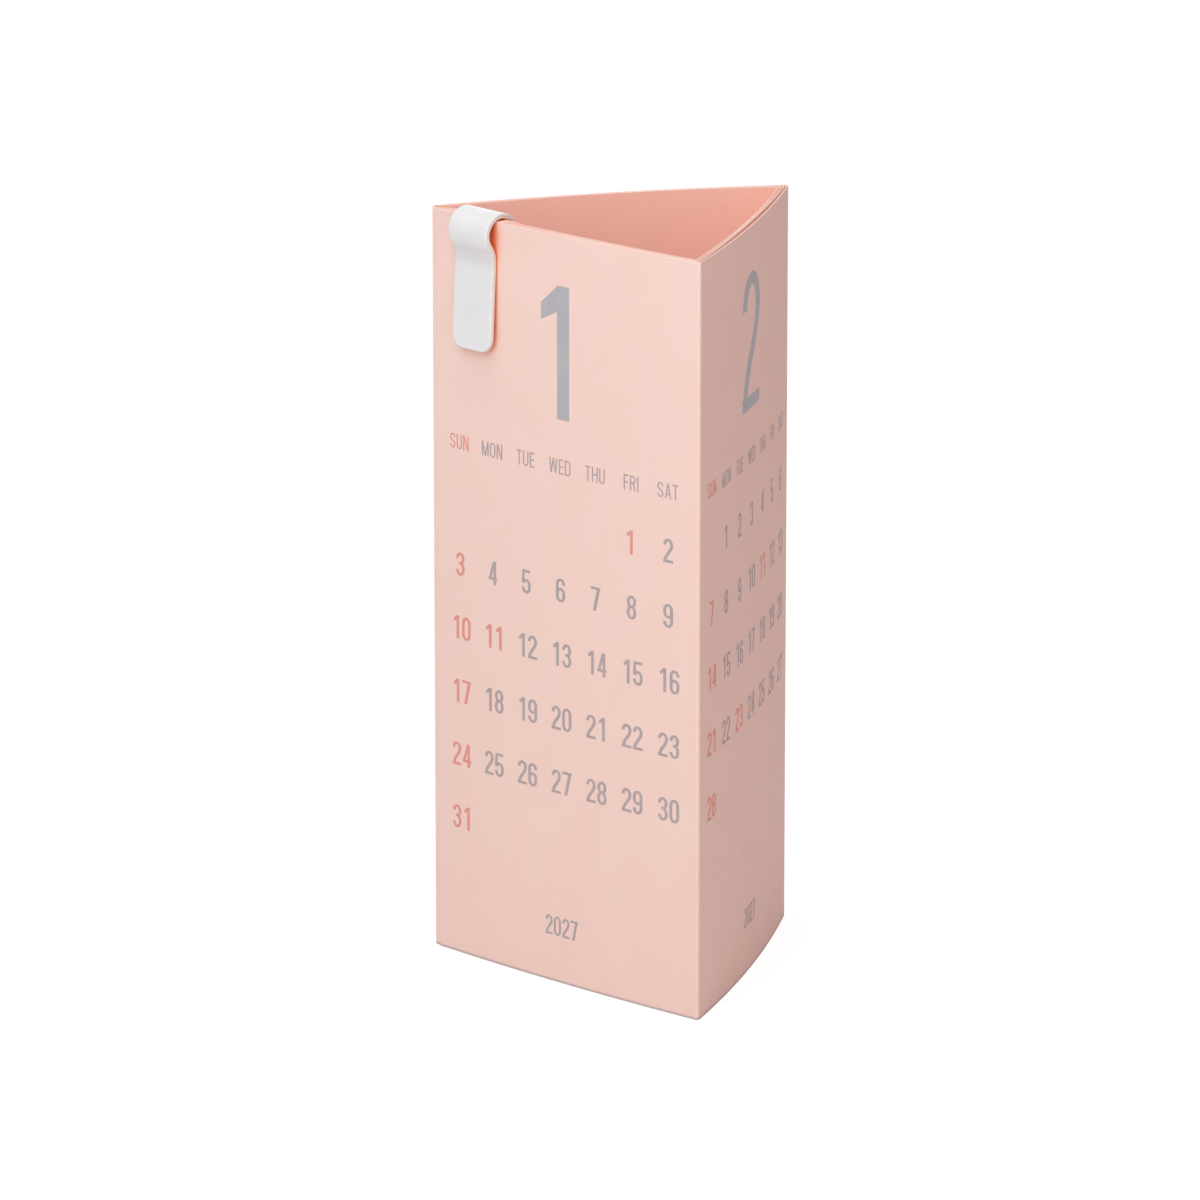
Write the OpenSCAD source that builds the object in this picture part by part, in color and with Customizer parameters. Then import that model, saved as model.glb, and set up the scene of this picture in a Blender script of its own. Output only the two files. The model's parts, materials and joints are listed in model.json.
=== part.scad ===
// Triangular desk calendar: four nested folded cards and a bent plastic clip that grips them.
// X runs along the January panel, Y away from it, Z up. The origin is the middle of the base.

/* [Cards] */
// Width of one side of the triangle, crease to crease
side_w = 100; // [80:1:160]
// Height of the cards
card_h = 206.2; // [175:0.1:300]
// Thickness of one card
card_t = 0.35; // [0.2:0.05:0.6]
// Radius of a crease, at the middle of the card
crease_r = 0.6; // [0.4:0.1:1.5]
// Length of the tab that tucks in behind the January panel
tab_l = 28; // [24:1:40]
// Distance from the left crease to the loose edge of the January panel
edge_inset = 2.8; // [2:0.1:6]

/* [Bows] */
// How far the January panel bows outwards
front_bow = 1.6; // [1:0.1:4]
// How far the February panel of the outer card bows outwards
right_bow = 2.3; // [1.6:0.1:4]
// How far the March panel bows outwards
rear_bow = 3.5; // [1:0.1:4]
// Air that opens behind the middle of the outer February panel
right_air = 0.8; // [0:0.1:1.2]

/* [Stack] */
// Air between two neighbouring cards at a crease
crease_gap = 0.25; // [0.1:0.05:0.5]
// Air between two cards that lie on each other
rub_gap = 0.05; // [0.02:0.01:0.1]

/* [Clip] */
// Width of the clip
clip_w = 15; // [10:0.5:20]
// Thickness of the strip that the clip is bent from
clip_t = 1.5; // [0.8:0.1:2]
// Distance from the left crease to the near side of the clip
clip_inset = 11.9; // [6:0.1:14]
// Length of each leg below the top edge of the cards
clip_leg = 35.8; // [25:0.1:60]
// Inner radius of the loop over the cards
loop_r = 4.3; // [3.5:0.1:7]
// Radius of the neck where a leg meets the cards, at the middle of the strip
neck_r = 6.5; // [2:0.1:8]
// Distance that the end of a leg flares off the cards
flare = 1.3; // [0.2:0.1:2]
// Radius of the corners at the end of a leg
clip_corner_r = 4; // [1:0.5:5]
// Air between the clip and the cards at the neck
grip_gap = 0.12; // [0.1:0.01:0.2]

/* [Print] */
// Thickness of the printed ink
ink_t = 0.05; // [0.03:0.01:0.1]
// Height of a month number
month_h = 36.6; // [20:0.1:50]
// Distance from the top edge to the top of a month number
month_top = 13.3; // [8:0.1:30]
// Height of a date
date_h = 6.7; // [4:0.1:9]
// Distance from the top edge to the middle of the first row of dates
date_top = 79; // [70:0.5:95]
// Distance from the bottom edge to the middle of the last row of dates
date_up = 38.5; // [28:0.5:60]
// Distance from a crease to the middle of the nearest column of dates
column_inset = 11.3; // [9:0.1:15]
// Height of the year
year_h = 5.4; // [3:0.1:8]
// Distance from the bottom edge to the middle of the year
year_up = 15.7; // [6:0.1:16]
// Sideways shift of the January print, towards the February panel
january_shift = 1.2; // [0:0.1:2]
// Sideways shift of the February print, towards the January panel
february_shift = 0.8; // [0:0.1:5]

/* [Hidden] */

CARDS = 4;
FRONT_STEPS = 15;
PANEL_STEPS = 8;
CREASE_STEPS = 4;
TAB_STEPS = 4;
LOOP_STEPS = 20;
NECK_STEPS = 7;
CORNER_STEPS = 6;
MONTH_STEPS = 4;
DATE_STEPS = 1;

CARD = [0.95, 0.80, 0.75];
WHITE = [0.95, 0.95, 0.94];
GREY = [0.66, 0.68, 0.73];
CORAL = [0.90, 0.52, 0.46];

// Unit vector at an angle
function dir(a) = [cos(a), sin(a)];

// Distance between two points
function gap(p, q) = norm(q - p);

// Angle of a vector, in the turn that starts at the angle from
function angle_from(v, from) = from + (atan2(v.y, v.x) - from + 720) % 360;

// Stations along an arc: each is a point and the angle of its outward normal
function arc(c, r, a0, a1, n) =
    [for (i = [0:n]) let (a = a0 + (a1 - a0) * i / n) [c + r * dir(a), a]];

// Outline of a band of thickness t along stations
function band(s, t) = concat(
    [for (q = s) q[0] + t / 2 * dir(q[1])],
    [for (i = [len(s) - 1:-1:0]) s[i][0] - t / 2 * dir(s[i][1])]);

// Circle through p and q that bulges by bow to the right of the way from p to q: [centre, radius]
function bowed(p, q, bow) =
    let (c = gap(p, q), r = (c * c / 4 + bow * bow) / (2 * bow), e = (q - p) / c)
    [(p + q) / 2 - (r - bow) * [e.y, -e.x], r];

// Where two circles cross, on the left of the way from the first centre to the second
function crossing(c1, r1, c2, r2) =
    let (d = gap(c1, c2), e = (c2 - c1) / d, a = (d * d + r1 * r1 - r2 * r2) / (2 * d))
    c1 + a * e + sqrt(r1 * r1 - a * a) * [-e.y, e.x];

// Spacing of the cards: at the creases, and at the left end of the January panel, where each card's
// tab lies behind its own panel
crease_step = card_t + crease_gap;
tab_off = card_t + rub_gap;
tab_share = tab_l / side_w;
left_step = (2 * tab_off - tab_share * crease_step) / (1 - tab_share);

// Corners of card k before they are rounded: left, right and rear
A = [0, 0];
B = [side_w, 0];
C = side_w * dir(60);
function inset(p, e1, off1, e2, off2) = p + (e1 * off2 + e2 * off1) / sin(60);
function left(k) = inset(A, dir(0), k * left_step, dir(60), k * crease_step);
function right(k) = inset(B, dir(180), k * crease_step, dir(120), k * crease_step);
function rear(k) = inset(C, dir(240), k * crease_step, dir(300), k * crease_step);

// The circles that the panels of card k follow. Inner cards press outwards on each other.
press = crease_gap - rub_gap;
function front_circle(k) = bowed(left(k), right(k), front_bow);
function right_circle(k) =
    bowed(right(k), rear(k), k == 0 ? right_bow : right_bow - right_air + (k - 1) * press);
function rear_circle(k) = bowed(rear(k), left(k), rear_bow + k * press);

// Middle line of card k: January panel, February panel, March panel and tab
function card_line(k) =
    let (
        f = front_circle(k),
        g = right_circle(k),
        h = rear_circle(k),
        t = [f[0], f[1] - tab_off],
        r = crease_r,
        b = crossing(f[0], f[1] - r, g[0], g[1] - r),
        c = crossing(g[0], g[1] - r, h[0], h[1] - r),
        a = crossing(h[0], h[1] - r, t[0], t[1] - r),
        edge = angle_from(left(k) - f[0], -180) + edge_inset / f[1] * 180 / PI,
        b1 = angle_from(b - f[0], -180),
        b2 = angle_from(b - g[0], -180),
        c1 = angle_from(c - g[0], -180),
        c2 = angle_from(c - h[0], 0),
        a1 = angle_from(a - h[0], 0),
        a2 = angle_from(a - t[0], 90),
        tab_end = a2 + tab_l / t[1] * 180 / PI
    )
    concat(
        arc(f[0], f[1], edge, b1, FRONT_STEPS),
        [for (i = [1:CREASE_STEPS - 1]) arc(b, r, b1, b2, CREASE_STEPS)[i]],
        arc(g[0], g[1], b2, c1, PANEL_STEPS),
        [for (i = [1:CREASE_STEPS - 1]) arc(c, r, c1, c2, CREASE_STEPS)[i]],
        arc(h[0], h[1], c2, a1, PANEL_STEPS),
        [for (i = [1:CREASE_STEPS - 1]) arc(a, r, a1, a2, CREASE_STEPS)[i]],
        arc(t[0], t[1], a2, tab_end, TAB_STEPS));

// Place of the clip. It faces along clip_out, half way between the way the outer card faces and the
// way the last tab faces. The stack reaches from stack_in to stack_out that way.
outer_face = front_circle(0);
last_tab = front_circle(CARDS - 1);
tab_face_r = last_tab[1] - tab_off - card_t / 2;
clip_mid = clip_inset + clip_w / 2;
stack_lean = atan((CARDS - 1) * (left_step - crease_step) / side_w);
face_turn = -90 + (clip_mid - side_w / 2) / outer_face[1] * 180 / PI;
clip_turn = face_turn - stack_lean / 2;
clip_out = dir(clip_turn);
clip_side = dir(clip_turn + 90);
clip_x = (outer_face[0] + outer_face[1] * dir(face_turn)) * clip_side;
stack_out = outer_face[0] * clip_out + outer_face[1] + card_t / 2;
stack_in = min([for (x = [clip_x - clip_w / 2, clip_x + clip_w / 2])
    last_tab[0] * clip_out + sqrt(tab_face_r * tab_face_r - pow(x - last_tab[0] * clip_side, 2))]);
clip_at = clip_x * clip_side + (stack_out + stack_in) / 2 * clip_out;
half_stack = (stack_out - stack_in) / 2 + grip_gap;

// The part is set so that its bounding box is centred on the origin
outer_line = band(card_line(0), card_t);
clip_reach = (loop_r + clip_t) * cos(clip_turn + 90) + clip_w / 2 * abs(sin(clip_turn + 90));
x_mid = (min([for (p = outer_line) p.x]) + max([for (p = outer_line) p.x])) / 2;
y_low = min(min([for (p = outer_line) p.y]) - ink_t, clip_at.y - clip_reach);
y_mid = (y_low + max([for (p = outer_line) p.y])) / 2;
HOME = [-x_mid, -y_mid, 0];

// Corners of an upright rectangle with rounded corners
function pill(x0, y0, x1, y1, r, n) =
    [for (q = [[x1 - r, y0 + r, -90], [x1 - r, y1 - r, 0], [x0 + r, y1 - r, 90], [x0 + r, y0 + r, 180]])
        for (i = [0:n]) [q[0], q[1]] + r * dir(q[2] + 90 * i / n)];

module card(k)
    color(CARD) translate(HOME) linear_extrude(card_h) polygon(band(card_line(k), card_t));

// Half of the clip's middle line, from the top of the loop to the end of one leg: outwards is +X,
// up is +Y, and the top edge of the cards is at Y = 0
function clip_half() =
    let (
        r = loop_r + clip_t / 2,
        top = rub_gap - sqrt(loop_r * loop_r - half_stack * half_stack),
        reach = half_stack + clip_t / 2,
        dip = acos((reach + neck_r) / (r + neck_r)),
        neck = [0, top] + (r + neck_r) * dir(-dip),
        lean = atan(flare / (clip_leg + neck.y)),
        low = neck + neck_r * dir(180 + lean),
        end = low + (clip_leg + low.y) / cos(lean) * dir(lean - 90)
    )
    concat(
        arc([0, top], r, 90, -dip, LOOP_STEPS / 2),
        [for (q = arc(neck, neck_r, 180 - dip, 180 + lean, NECK_STEPS)) [q[0], q[1] - 180]],
        [[end, lean]]);

module clip() {
    half = clip_half();
    line = concat(
        [for (i = [len(half) - 1:-1:1]) [[-half[i][0].x, half[i][0].y], 180 - half[i][1]]],
        half);
    tall = clip_leg + loop_r + 2 * clip_t + clip_corner_r;
    deep = 4 * (loop_r + clip_t + flare);
    color(WHITE) translate(HOME) translate([clip_at.x, clip_at.y, card_h]) rotate([0, 0, clip_turn])
        intersection() {
            rotate([90, 0, 0]) linear_extrude(clip_w + 1, center = true) polygon(band(line, clip_t));
            rotate([90, 0, 90]) linear_extrude(deep, center = true)
                polygon(pill(-clip_w / 2, -clip_leg, clip_w / 2, tall - clip_leg, clip_corner_r,
                             CORNER_STEPS));
        }
}

// Digits: one unit high, with their left side at X = 0
GLYPH_W = 0.5;
PEN = 0.125;
DIGIT_STEP = 0.59;
BOWL_R = 0.2;
WAIST = 0.53;
HOOK = 0.27;

// A ring with rounded corners, the bowl of a digit
module bowl(y0, y1, n)
    difference() {
        polygon(pill(0, y0, GLYPH_W, y1, BOWL_R, n));
        polygon(pill(PEN, y0 + PEN, GLYPH_W - PEN, y1 - PEN, BOWL_R - PEN * 0.6, n));
    }

module six(n) {
    bowl(0, WAIST + PEN, n);
    difference() {
        bowl(0, 1, n);
        translate([PEN, 0]) square([GLYPH_W, 1 - HOOK]);
        square([PEN, BOWL_R]);
    }
}

module digit(d, n) {
    lower = WAIST + PEN / 2;
    upper = WAIST - PEN / 2;
    if (d == 0) bowl(0, 1, n);
    if (d == 1) {
        stem = (GLYPH_W - PEN) / 2;
        flag = 1 - HOOK;
        polygon([[0, flag], [0, flag + PEN], [stem, 1], [stem + PEN, 1], [stem + PEN, 0], [stem, 0],
                 [stem, flag + PEN * 0.75]]);
    }
    if (d == 2) {
        bend = 0.66;
        difference() {
            bowl(bend / 2, 1, n);
            square([GLYPH_W - PEN, 1 - HOOK]);
            square([GLYPH_W, bend]);
        }
        polygon([[GLYPH_W, bend], [GLYPH_W - PEN, bend], [0, PEN], [0, 0], [GLYPH_W, 0],
                 [GLYPH_W, PEN], [PEN * 1.3, PEN]]);
    }
    if (d == 3)
        difference() {
            union() {
                bowl(0, lower, n);
                bowl(upper, 1, n);
            }
            translate([0, HOOK]) square([PEN * 1.2, 1 - 2 * HOOK]);
        }
    if (d == 4) {
        bar = 0.22;
        stem = 0.3;
        difference() {
            polygon([[0, bar], [0, bar + PEN], [stem - PEN / 2, 1], [stem + PEN, 1],
                     [stem + PEN, bar + PEN], [GLYPH_W, bar + PEN], [GLYPH_W, bar],
                     [stem + PEN, bar], [stem + PEN, 0], [stem, 0], [stem, bar]]);
            polygon([[PEN * 0.9, bar + PEN], [stem, bar + PEN], [stem, 1 - PEN * 1.3]]);
        }
    }
    if (d == 5) {
        difference() {
            bowl(0, WAIST + PEN, n);
            translate([0, HOOK]) square([PEN, WAIST]);
        }
        translate([0, upper]) square([PEN, 1 - upper]);
        translate([0, 1 - PEN]) square([GLYPH_W * 0.95, PEN]);
    }
    if (d == 6) six(n);
    if (d == 7) {
        foot = 0.13;
        polygon([[0, 1], [GLYPH_W, 1], [GLYPH_W, 1 - PEN], [foot + PEN * 1.1, 0], [foot, 0],
                 [GLYPH_W - PEN * 1.1, 1 - PEN], [0, 1 - PEN]]);
    }
    if (d == 8) {
        bowl(0, lower, n);
        bowl(upper, 1, n);
    }
    if (d == 9) translate([GLYPH_W, 1]) rotate(180) six(n);
}

// A number centred on the origin, given as a list of digits
module number(digits, size, n)
    scale(size)
        translate([-(GLYPH_W + (len(digits) - 1) * DIGIT_STEP) / 2, -0.5])
            for (i = [0:len(digits) - 1]) translate([i * DIGIT_STEP, 0]) digit(digits[i], n);

// Lays flat ink on the outside of a panel of the outer card: circle is the panel's, mid the angle
// of its middle, x the way to the right of the middle and z the height
module ink(circle, mid, x, z) {
    a = mid + x / circle[1] * 180 / PI;
    at = circle[0] + (circle[1] + card_t / 2) * dir(a);
    translate(HOME) translate([at.x, at.y, z]) rotate([0, 0, a]) rotate([90, 0, 90])
        linear_extrude(ink_t) children();
}

// Months: number of days, weekday of the first (Sunday is 0), holidays, panel circle, angle of the
// panel's middle and sideways shift
MONTHS = [
    [31, 5, [1, 11], front_circle(0), -90, january_shift],
    [28, 1, [11, 23], right_circle(0), 30, -february_shift],
    [31, 1, [22], rear_circle(0), 150, 0]];

// Distances between two columns and between two rows of dates
COLUMNS = 7;
ROWS = 6;
column_step = (side_w - 2 * column_inset) / (COLUMNS - 1);
row_step = (card_h - date_top - date_up) / (ROWS - 1);

// Distance that the lone 1 of January sits right of the middle of its cell
ONE_SHIFT = 0.9;

function is_coral(m, day) = (m[1] + day - 1) % COLUMNS == 0 || len(search(day, m[2])) > 0;
function day_digits(day) = day < 10 ? [day] : [floor(day / 10), day % 10];

// The dates of one month that are printed in one colour
module dates(m, coral)
    for (day = [1:m[0]])
        if (is_coral(m, day) == coral) {
            slot = m[1] + day - 1;
            x = (slot % COLUMNS - (COLUMNS - 1) / 2) * column_step + m[5];
            z = card_h - date_top - floor(slot / COLUMNS) * row_step;
            ink(m[3], m[4], x, z) number(day_digits(day), date_h, DATE_STEPS);
        }

module month_and_year(i) {
    m = MONTHS[i];
    x = m[5] + (i == 0 ? ONE_SHIFT : 0);
    ink(m[3], m[4], x, card_h - month_top - month_h / 2) number([i + 1], month_h, MONTH_STEPS);
    ink(m[3], m[4], m[5], year_up) number([2, 0, 2, 7], year_h, DATE_STEPS);
}

module grey_print()
    color(GREY)
        for (i = [0:2]) {
            month_and_year(i);
            dates(MONTHS[i], false);
        }

module coral_print()
    color(CORAL)
        for (m = MONTHS) dates(m, true);

card(0);  // january_march_card
card(1);  // april_june_card
card(2);  // july_september_card
card(3);  // october_december_card
clip();
grey_print();
coral_print();
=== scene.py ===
# %% [markdown]
# # A triangular desk calendar
#
# The object is a year of months on four folded cards. Each card is one sheet with three panels
# and a tab, bent into a triangular tube, and the four tubes stand inside each other. A strip of
# white plastic, bent into a clip, grips them at the top edge.
#
# The construction model gives the size and place of every piece. Here each piece is made again
# with smooth curves and real surfaces, in the same frame, and in metres.

# %% Load the construction model
import bpy
import bmesh
import json
import math
from functools import partial
from mathutils import Matrix, Vector
from mathutils.geometry import delaunay_2d_cdt

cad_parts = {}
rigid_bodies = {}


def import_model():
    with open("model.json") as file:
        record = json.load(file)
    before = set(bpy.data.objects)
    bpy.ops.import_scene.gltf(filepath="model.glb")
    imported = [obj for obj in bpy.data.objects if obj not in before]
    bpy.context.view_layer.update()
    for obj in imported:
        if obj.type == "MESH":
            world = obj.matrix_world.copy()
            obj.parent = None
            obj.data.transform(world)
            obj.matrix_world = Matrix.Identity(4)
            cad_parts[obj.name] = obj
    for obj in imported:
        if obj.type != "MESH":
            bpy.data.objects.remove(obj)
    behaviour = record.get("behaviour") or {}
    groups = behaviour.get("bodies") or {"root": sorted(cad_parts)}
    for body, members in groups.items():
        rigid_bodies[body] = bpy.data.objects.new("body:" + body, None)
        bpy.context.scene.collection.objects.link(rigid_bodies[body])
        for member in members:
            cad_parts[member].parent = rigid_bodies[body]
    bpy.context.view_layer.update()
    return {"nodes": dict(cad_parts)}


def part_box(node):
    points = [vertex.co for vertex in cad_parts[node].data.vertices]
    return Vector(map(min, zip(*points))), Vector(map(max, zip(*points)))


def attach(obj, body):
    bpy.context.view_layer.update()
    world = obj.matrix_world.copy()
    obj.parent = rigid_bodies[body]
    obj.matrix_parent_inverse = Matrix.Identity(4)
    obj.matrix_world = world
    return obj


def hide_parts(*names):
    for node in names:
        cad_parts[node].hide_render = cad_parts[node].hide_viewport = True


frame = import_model()
print("nodes:", sorted(frame["nodes"]))

# %% [markdown]
# ## Sizes
#
# These are the sizes of the construction model, in millimetres. A card is drawn as the line along
# its middle, seen from above, so it needs only the width of a side, the bow of each panel and the
# radius of a crease.

# %% Sizes of the cards and the clip
MM = 0.001
SIDE = 100.0
TALL = 206.2
CARD_T = 0.35
CREASE_R = 0.6
TAB = 28.0
EDGE_INSET = 2.8
BOWS = {"front": 1.6, "right": 2.3, "rear": 3.5}
RIGHT_AIR = 0.8
CREASE_GAP = 0.25
RUB_GAP = 0.05
CORNER = math.radians(60)
CARD_NODES = ["january_march_card", "april_june_card", "july_september_card",
              "october_december_card"]

crease_step = CARD_T + CREASE_GAP
tab_off = CARD_T + RUB_GAP
tab_share = TAB / SIDE
left_step = (2 * tab_off - tab_share * crease_step) / (1 - tab_share)


def heading(angle):
    """Unit vector at an angle in radians."""
    return Vector((math.cos(angle), math.sin(angle)))


def bowed(p, q, bow):
    """Centre and radius of the circle through p and q that bulges to the right of the way to q."""
    way = q - p
    half = way.length / 2
    radius = (half * half + bow * bow) / (2 * bow)
    right = Vector((way.y, -way.x)).normalized()
    return (p + q) / 2 - (radius - bow) * right, radius


def crossing(c1, r1, c2, r2):
    """Where two circles cross, on the left of the way from the first centre to the second."""
    way = c2 - c1
    d = way.length
    along = (d * d + r1 * r1 - r2 * r2) / (2 * d)
    e = way / d
    return c1 + along * e + math.sqrt(r1 * r1 - along * along) * Vector((-e.y, e.x))


def corner(point, turn1, off1, turn2, off2):
    """The corner of an inner card, moved in from the two sides that meet there."""
    e1, e2 = heading(math.radians(turn1)), heading(math.radians(turn2))
    return point + (e1 * off2 + e2 * off1) / math.sin(CORNER)


def panel_circles(k):
    """The circles that the three panels of card k follow, from January on, and its left corner."""
    a = corner(Vector((0, 0)), 0, k * left_step, 60, k * crease_step)
    b = corner(Vector((SIDE, 0)), 180, k * crease_step, 120, k * crease_step)
    c = corner(SIDE * heading(CORNER), 240, k * crease_step, 300, k * crease_step)
    press = CREASE_GAP - RUB_GAP
    right_bow = BOWS["right"] if k == 0 else BOWS["right"] - RIGHT_AIR + (k - 1) * press
    rear_bow = BOWS["rear"] + k * press
    return bowed(a, b, BOWS["front"]), bowed(b, c, right_bow), bowed(c, a, rear_bow), a


print(f"step between cards: {crease_step:.2f} mm at a crease, {left_step:.2f} mm at the left end")

# %% [markdown]
# ## The line of a folded card
#
# A card runs along three wide arcs, one for each panel, joined by three tight arcs, the creases.
# Each crease touches both of its panels, so the line never kinks. The points lie closer together
# near a crease, because that is where light shows every facet.
#
# Every point also carries two marks: whether it lies in a fold, and whether a fold starts there.
# The card's finish reads them later, because a crease is where the surface of card stock breaks,
# and a crease is scored along its sides before it is folded. It also paints a partial highlight on
# the folds and a line of shade along the scores.

# %% Draw the line of a card
PANEL_STEPS = 72
CREASE_STEPS = 14
TAB_STEPS = 20


def turn_of(vector, start):
    """Angle of a vector in the full turn that begins at start."""
    full = 2 * math.pi
    return start + (math.atan2(vector.y, vector.x) - start) % full


def arc_points(centre, radius, a0, a1, steps, crowded):
    """Points along an arc. Crowded ones bunch up towards both ends."""
    shares = [i / steps for i in range(steps + 1)]
    if crowded:
        shares = [0.5 - 0.5 * math.cos(math.pi * s) for s in shares]
    return [centre + radius * heading(a0 + (a1 - a0) * s) for s in shares]


def card_line(k):
    """Middle line of card k, in millimetres: (point, is it in a fold, does a fold start here)."""
    front, right, rear, left_corner = panel_circles(k)
    tab = (front[0], front[1] - tab_off)
    sides = [(front, -math.pi), (right, -math.pi), (rear, 0), (tab, math.pi / 2)]
    turn = turn_of(left_corner - front[0], -math.pi) + EDGE_INSET / front[1]
    runs = []
    for ((c1, r1), start1), ((c2, r2), start2) in zip(sides, sides[1:]):
        crease = crossing(c1, r1 - CREASE_R, c2, r2 - CREASE_R)
        a, b = turn_of(crease - c1, start1), turn_of(crease - c2, start2)
        runs += [(c1, r1, turn, a, PANEL_STEPS, 0), (crease, CREASE_R, a, b, CREASE_STEPS, 1)]
        turn = b
    runs.append((*tab, turn, turn + TAB / tab[1], TAB_STEPS, 0))
    line = []
    for centre, radius, a0, a1, steps, fold in runs:
        points = arc_points(centre, radius, a0, a1, steps, crowded=not fold)
        line += [(p, fold, int(i == 0 and len(line) > 0)) for i, p in enumerate(points[:-1])]
    return line + [(points[-1], 0, 0)]


lines = [card_line(k) for k in range(len(CARD_NODES))]
low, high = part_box(CARD_NODES[0])
xs = [p.x for p, fold, score in lines[0]]
ys = [p.y for p, fold, score in lines[0]]
HOME = Vector(((low.x + high.x) / 2 / MM - (min(xs) + max(xs)) / 2,
               (low.y + high.y) / 2 / MM - (min(ys) + max(ys)) / 2))
print(f"card line: {len(lines[0])} points, moved by {HOME.x:.2f}, {HOME.y:.2f} mm to its place")

# %% [markdown]
# ## Nodes as Python
#
# Shapes and finishes are both trees of nodes here. Written out node by node they are hard to read,
# so one small class wraps a socket and turns `1 - mask * 0.5` into the Math nodes that it stands
# for. A second class is the tree, and its `add` method makes any other node.

# %% Helpers for trees of nodes
class Wire:
    """A value that flows through a tree. Arithmetic on it adds Math nodes."""

    def __init__(self, nodes, socket):
        self.nodes, self.socket = nodes, socket

    def __add__(self, other):
        return self.nodes.maths("ADD", self, other)

    def __sub__(self, other):
        return self.nodes.maths("SUBTRACT", self, other)

    def __rsub__(self, other):
        return self.nodes.maths("SUBTRACT", other, self)

    def __mul__(self, other):
        return self.nodes.maths("MULTIPLY", self, other)

    def __truediv__(self, other):
        return self.nodes.maths("DIVIDE", self, other)

    __radd__, __rmul__ = __add__, __mul__

    def ramp(self, low, high):
        """0 where the value is at low, 1 where it is at high, smooth between."""
        limits = {"Value": self, "From Min": low, "From Max": high}
        return self.nodes.add("ShaderNodeMapRange", limits, interpolation_type="SMOOTHSTEP")


class Nodes:
    """A tree of nodes that is built one node at a time."""

    def __init__(self, tree):
        self.tree = tree
        tree.nodes.clear()

    def add(self, kind, inputs=(), output=0, **settings):
        """A node with its settings and inputs; the answer is one of its outputs."""
        node = self.tree.nodes.new(kind)
        for key, value in settings.items():
            setattr(node, key, value)
        for key, value in dict(inputs).items():
            for item in value if isinstance(value, list) else [value]:
                if isinstance(item, Wire):
                    self.tree.links.new(item.socket, node.inputs[key])
                else:
                    node.inputs[key].default_value = item
        return Wire(self, node.outputs[output])

    def maths(self, operation, a, b=0.0):
        return self.add("ShaderNodeMath", {0: a, 1: b}, operation=operation)

    def mix(self, factor, a, b):
        """Colour a where factor is 0, colour b where it is 1."""
        a, b = ((*c, 1.0) if isinstance(c, tuple) else c for c in (a, b))
        return self.add("ShaderNodeMix", {0: factor, 6: a, 7: b}, output=2, data_type="RGBA")

    def end(self, kind, shader):
        """The end of a tree of shaders."""
        self.tree.links.new(shader.socket, self.tree.nodes.new(kind).inputs["Surface"])


print("node kit ready")

# %% [markdown]
# ## A small kit for Geometry Nodes
#
# Two things here follow a rule: a sheet that follows its folded line, and the print that follows
# the panels. Both are made with Geometry Nodes, so that the rule stays visible as a tree with
# named sizes. These helpers build a tree, run it once and keep the result as a plain mesh.

# %% Helpers for Geometry Nodes
class Rule(Nodes):
    """A Geometry Nodes tree with named inputs."""

    def __init__(self, name, **inputs):
        super().__init__(bpy.data.node_groups.new(name, "GeometryNodeTree"))
        sockets = self.tree.interface
        for label, kind in inputs.items():
            sockets.new_socket(label, in_out="INPUT", socket_type="NodeSocket" + kind)
        sockets.new_socket("geometry", in_out="OUTPUT", socket_type="NodeSocketGeometry")
        self.entry = self.tree.nodes.new("NodeGroupInput")
        self.exit = self.tree.nodes.new("NodeGroupOutput")

    def given(self, label):
        """One of the tree's own inputs."""
        return Wire(self, self.entry.outputs[label])

    def carried(self, name, kind="FLOAT"):
        """A value that the points carry."""
        return self.add("GeometryNodeInputNamedAttribute", {"Name": name}, data_type=kind)

    def finish(self, geometry):
        """The end of the tree: real geometry with its finish."""
        real = self.add("GeometryNodeRealizeInstances", {"Geometry": geometry})
        painted = self.add("GeometryNodeSetMaterial",
                           {"Geometry": real, "Material": self.given("finish")})
        self.tree.links.new(painted.socket, self.exit.inputs[0])


def placed(name, data):
    """A new object in the scene."""
    item = bpy.data.objects.new(name, data)
    bpy.context.scene.collection.objects.link(item)
    return item


def grow(name, rule, points, edges, values, attributes):
    """Runs a rule on points that carry attributes; returns the plain mesh object that it makes."""
    seed = bpy.data.meshes.new(name + "_seed")
    seed.from_pydata(points, edges, [])
    for label, (kind, key, data) in attributes.items():
        seed.attributes.new(label, kind, "POINT").data.foreach_set(key, data)
    holder = placed(name + "_seed", seed)
    modifier = holder.modifiers.new("grow", "NODES")
    modifier.node_group = rule.tree
    sockets = {item.name: item.identifier for item in rule.tree.interface.items_tree
               if item.in_out == "INPUT"}
    for label, value in values.items():
        modifier[sockets[label]] = value
    graph = bpy.context.evaluated_depsgraph_get()
    mesh = bpy.data.meshes.new_from_object(holder.evaluated_get(graph), depsgraph=graph)
    holder.modifiers.remove(modifier)
    bpy.data.objects.remove(holder)
    mesh.name = name
    return placed(name, mesh)


def volume(piece):
    """Volume of a closed mesh in cubic millimetres; it is negative if the mesh is inside out."""
    bm = bmesh.new()
    bm.from_mesh(piece.data)
    size = bm.calc_volume(signed=True) / MM ** 3
    bm.free()
    return size


print("kit for rules ready")

# %% [markdown]
# ## A small kit for finishes
#
# A finish is a tree of shader nodes around one Principled shader. These helpers make noise of a
# known size in millimetres and masks along an axis, and end the tree with a relief.

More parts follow.
